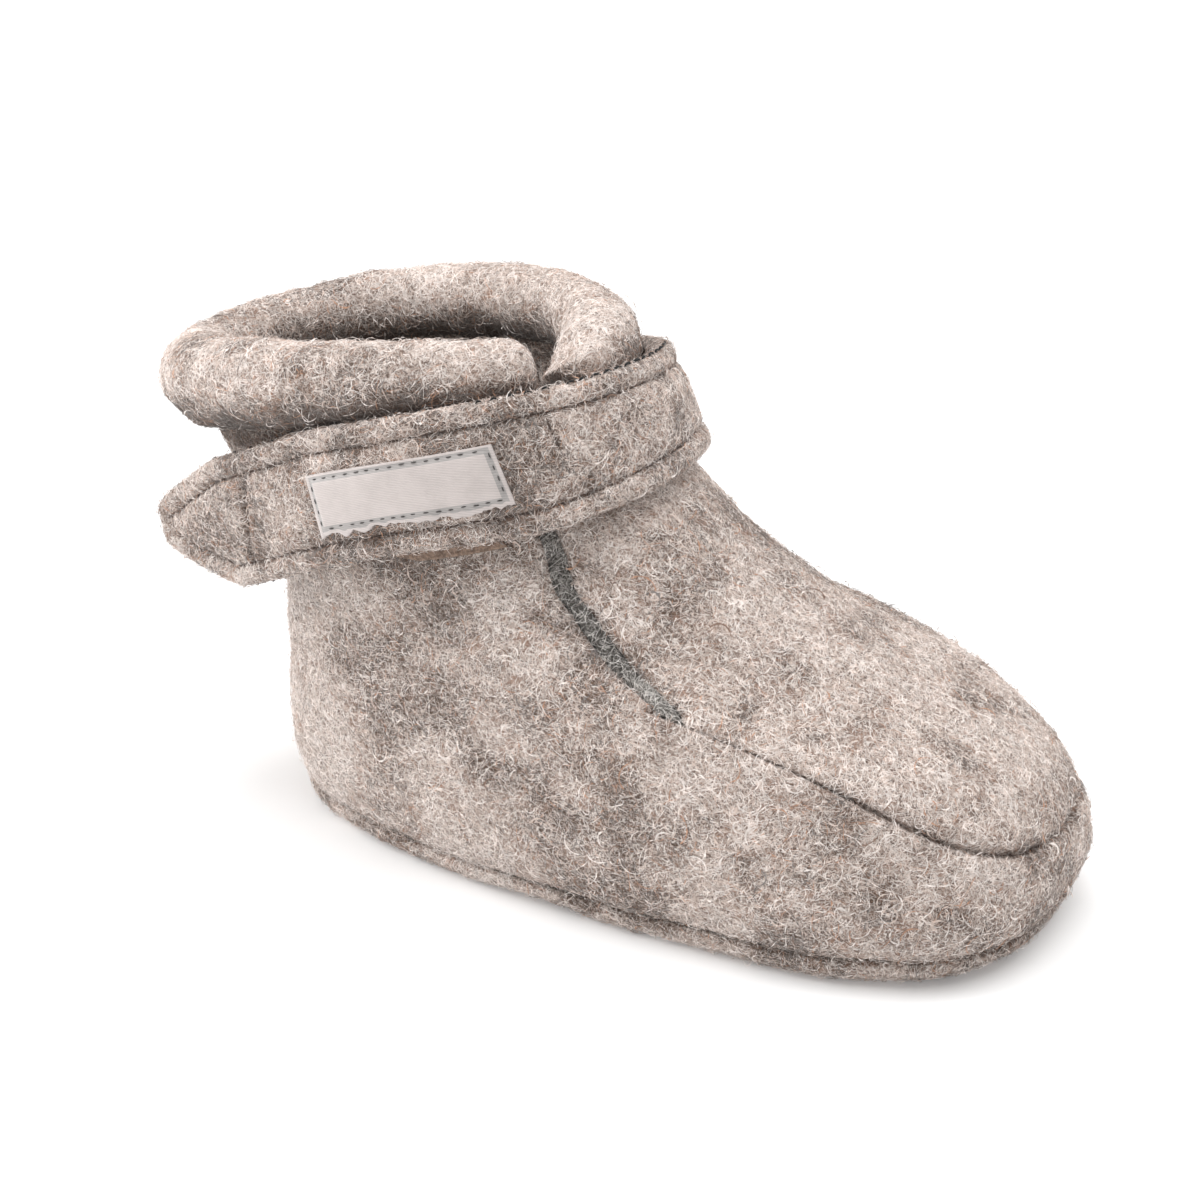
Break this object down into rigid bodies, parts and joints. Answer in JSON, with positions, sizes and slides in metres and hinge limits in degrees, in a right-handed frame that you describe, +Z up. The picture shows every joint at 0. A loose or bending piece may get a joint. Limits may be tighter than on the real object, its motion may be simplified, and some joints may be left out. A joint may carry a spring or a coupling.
{
  "type": "baby wool boot",
  "caption": "Soft baby boot of thick boiled wool with a rolled collar, a slit beside the tongue and an ankle strap with a pointed tab and a blank label; one right boot, open inside.",
  "frame": {"origin": "middle of the bounding box, on the floor that the sole rests on", "axes": "+X from heel to toe, +Y towards the medial side, +Z up; the opening and the label face -Y"},
  "size_m": [0.1448, 0.0604, 0.0786],
  "materials": {
    "wool": "boiled wool, matt and fuzzy",
    "wool_lining": "dark felted lining",
    "label_satin": "plain woven satin, unprinted",
    "tape_nylon": "hook-and-loop tape, matt"
  },
  "bodies": {
    "root": {"sole": "wool", "insole": "wool_lining", "upper": "wool", "throat_gusset": "wool_lining", "collar_roll": "wool", "fastening_tape": "tape_nylon", "strap": "wool", "label": "label_satin"}
  },
  "joints": []
}
